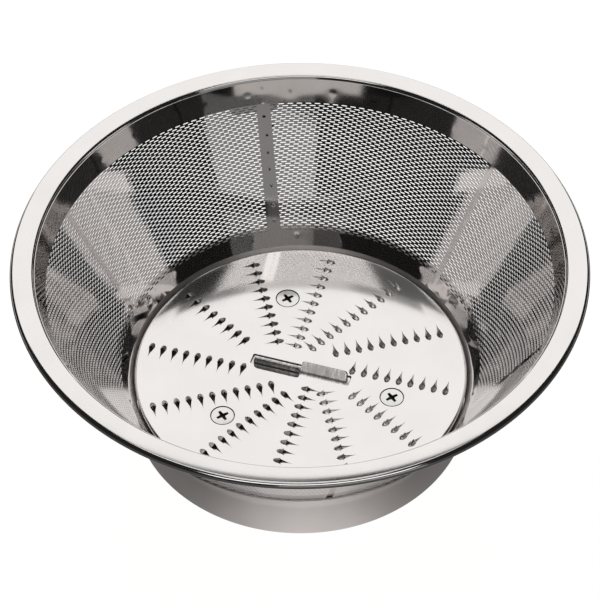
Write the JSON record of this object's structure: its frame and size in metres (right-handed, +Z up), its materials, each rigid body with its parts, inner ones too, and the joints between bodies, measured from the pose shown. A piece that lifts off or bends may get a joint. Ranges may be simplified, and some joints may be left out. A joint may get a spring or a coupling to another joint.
{
  "type": "juicer filter basket",
  "caption": "Conical spinning filter basket: perforated foil wall between a rolled rim and a drawn base, with a toothed grater disc, a centre blade and a drive hub.",
  "frame": {"origin": "centre of the base's bottom edge, on the axis of rotation", "axes": "+Z up along the axis of rotation, towards the open rim; the centre blade's slot runs about 19 degrees below +X"},
  "size_m": [0.186, 0.186, 0.07],
  "materials": {
    "mirror_steel": "bright polished stainless steel",
    "etched_steel": "bright rolled stainless foil, photo-etched with short slots",
    "satin_steel": "fine satin stainless steel",
    "ground_steel": "ground stainless steel with lines across the edge",
    "plated_steel": "zinc plated or stainless fasteners",
    "cast_aluminium": "fine cast surface"
  },
  "bodies": {
    "root": {"rim_ring": "mirror_steel", "filter_foil": "etched_steel", "seam_tab": "etched_steel", "base_cup": "satin_steel", "floor_plate": "satin_steel", "grater_disc": "mirror_steel", "centre_blade": "ground_steel", "drive_hub": "cast_aluminium", "drive_bush": "plated_steel", "disc_screw_1": "plated_steel", "spring_washer_1": "plated_steel", "hex_nut_1": "plated_steel", "disc_screw_2": "plated_steel", "spring_washer_2": "plated_steel", "hex_nut_2": "plated_steel", "disc_screw_3": "plated_steel", "spring_washer_3": "plated_steel", "hex_nut_3": "plated_steel"}
  },
  "joints": []
}
